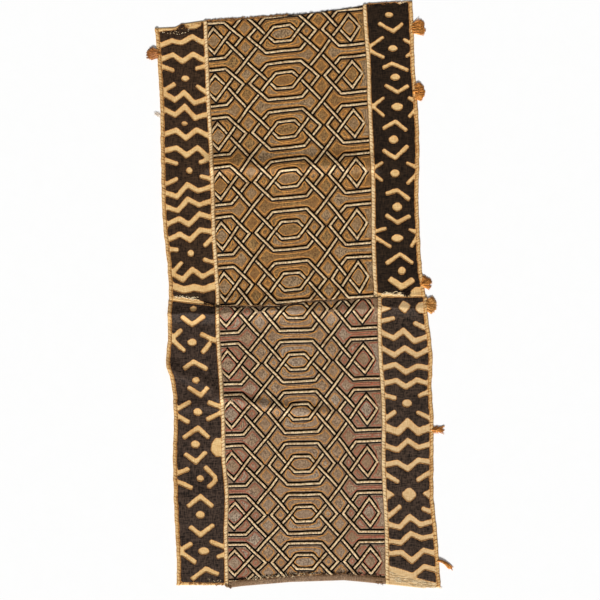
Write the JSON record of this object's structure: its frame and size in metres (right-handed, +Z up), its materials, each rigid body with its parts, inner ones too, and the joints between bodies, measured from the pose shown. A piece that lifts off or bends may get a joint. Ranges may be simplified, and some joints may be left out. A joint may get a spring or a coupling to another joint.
{
  "type": "kuba raffia cloth",
  "caption": "Long raffia cloth lying flat, with embroidered interlace centre panels, hemmed borders of dark cut-work and small raffia tassels on its side hems",
  "frame": {"origin": "under the middle of the whole cloth, on the surface that it lies on", "axes": "+X to the right across the cloth, +Y up its length to the cut top end, +Z up out of the surface"},
  "size_m": [0.6886, 1.2898, 0.0113],
  "materials": {
    "embroidered_raffia": "tan ribbed raffia with black and cream embroidered bands, matt",
    "plain_raffia": "undyed golden cream raffia, plain weave, slight sheen",
    "dark_raffia": "dyed dark brown raffia, plain weave, dull and worn",
    "raffia_tassel": "golden brown raffia strands"
  },
  "bodies": {
    "root": {"border_left_lower": "plain_raffia", "border_left_upper": "plain_raffia", "border_right_lower": "plain_raffia", "border_right_upper": "plain_raffia", "dark_left_lower_01": "dark_raffia", "dark_left_upper_01": "dark_raffia", "dark_left_upper_02": "dark_raffia", "dark_left_upper_03": "dark_raffia", "dark_left_upper_04": "dark_raffia", "dark_left_upper_05": "dark_raffia", "dark_left_upper_06": "dark_raffia", "dark_left_upper_07": "dark_raffia", "dark_left_upper_08": "dark_raffia", "dark_left_upper_09": "dark_raffia", "dark_left_upper_10": "dark_raffia", "dark_left_upper_11": "dark_raffia", "dark_left_upper_12": "dark_raffia", "dark_left_upper_13": "dark_raffia", "dark_right_lower_01": "dark_raffia", "dark_right_lower_02": "dark_raffia", "dark_right_lower_03": "dark_raffia", "dark_right_lower_04": "dark_raffia", "dark_right_lower_05": "dark_raffia", "dark_right_lower_06": "dark_raffia", "dark_right_lower_07": "dark_raffia", "dark_right_lower_08": "dark_raffia", "dark_right_lower_09": "dark_raffia", "dark_right_lower_10": "dark_raffia", "dark_right_lower_11": "dark_raffia", "dark_right_lower_12": "dark_raffia", "dark_right_upper_01": "dark_raffia", "panel_lower": "embroidered_raffia", "panel_upper": "embroidered_raffia", "tassel_left_top": "raffia_tassel", "tassel_right_1": "raffia_tassel", "tassel_right_2": "raffia_tassel", "tassel_right_3": "raffia_tassel", "tassel_right_4": "raffia_tassel", "tassel_right_5": "raffia_tassel", "tassel_right_6": "raffia_tassel"}
  },
  "joints": []
}
